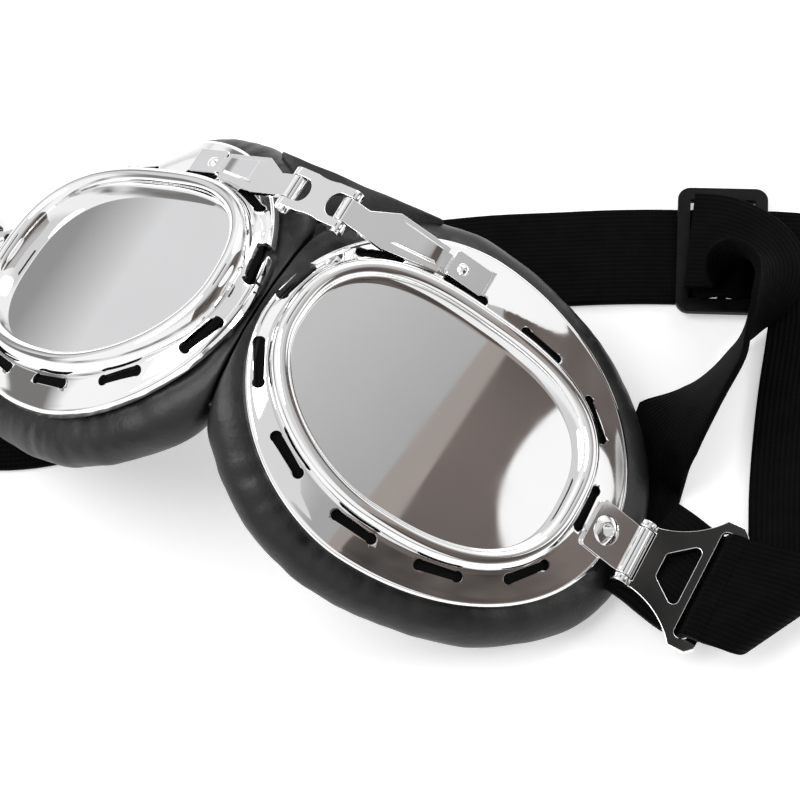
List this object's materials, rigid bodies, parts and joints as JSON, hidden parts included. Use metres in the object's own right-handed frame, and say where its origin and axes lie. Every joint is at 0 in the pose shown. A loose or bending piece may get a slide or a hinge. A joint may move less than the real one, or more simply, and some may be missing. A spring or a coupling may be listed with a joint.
{
  "type": "riding goggles",
  "caption": "Folding riding goggles: slotted chrome frames with mirror lenses, padded leather cushions, hinged bridge, strap buckles and elastic strap with slider.",
  "frame": {"origin": "middle of the face side, on the plane that both cushions rest on, below the nose bridge", "axes": "+X across the face to the wearer's left temple, +Y to the forehead, +Z out of the lenses"},
  "size_m": [0.256, 0.1474, 0.0593],
  "materials": {
    "chrome": "bright polished chrome plate",
    "lens_glass": "smooth grey mirror coat",
    "seal_rubber": "matt black rubber",
    "leather": "soft black grained leather",
    "foam": "open cell foam",
    "strap_webbing": "ribbed black elastic",
    "slider_plastic": "glossy black plastic"
  },
  "bodies": {
    "bridge": {"bridge_link": "chrome", "nose_gusset": "leather", "strap_main": "strap_webbing", "strap_return": "strap_webbing"},
    "eye_right": {"frame_right": "chrome", "lens_rim_right": "chrome", "lens_right": "lens_glass", "lens_seal_right": "seal_rubber", "cushion_cover_right": "leather", "cushion_foam_right": "foam", "bridge_plate_right": "chrome", "anchor_tab_right": "chrome", "bridge_rivet_right": "chrome", "hinge_pin_right": "chrome", "side_clip_right": "chrome", "side_rivet_right": "chrome"},
    "eye_left": {"frame_left": "chrome", "lens_rim_left": "chrome", "lens_left": "lens_glass", "lens_seal_left": "seal_rubber", "cushion_cover_left": "leather", "cushion_foam_left": "foam", "bridge_plate_left": "chrome", "anchor_tab_left": "chrome", "bridge_rivet_left": "chrome", "hinge_pin_left": "chrome", "side_clip_left": "chrome", "side_rivet_left": "chrome"},
    "buckle_right": {"strap_buckle_right": "chrome"},
    "buckle_left": {"strap_buckle_left": "chrome"},
    "slider": {"strap_slider": "slider_plastic"}
  },
  "joints": [
    {"name": "fold_right", "type": "hinge", "parent": "bridge", "child": "eye_right", "pos_m": [0.00632, 0.0272, 0.05599], "axis": [0, 1, 0], "range_deg": [0, 15], "deforming": ["nose_gusset", "strap_main", "strap_return"]},
    {"name": "fold_left", "type": "hinge", "parent": "bridge", "child": "eye_left", "pos_m": [-0.00632, 0.0272, 0.05599], "axis": [0, -1, 0], "range_deg": [0, 15], "deforming": ["nose_gusset", "strap_main", "strap_return"]},
    {"name": "buckle_right_swing", "type": "hinge", "parent": "eye_right", "child": "buckle_right", "pos_m": [0.08589, 0.0013, 0.01117], "axis": [0, -1, 0], "range_deg": [-25, 60], "deforming": ["strap_main", "strap_return"]},
    {"name": "buckle_left_swing", "type": "hinge", "parent": "eye_left", "child": "buckle_left", "pos_m": [-0.08589, 0.0013, 0.01117], "axis": [0, 1, 0], "range_deg": [-25, 60], "deforming": ["strap_main", "strap_return"]},
    {"name": "slider_travel", "type": "slide", "parent": "bridge", "child": "slider", "axis": [0.9135, 0.4067, 0], "range_m": [-0.008, 0.008], "deforming": ["strap_main", "strap_return"]}
  ]
}
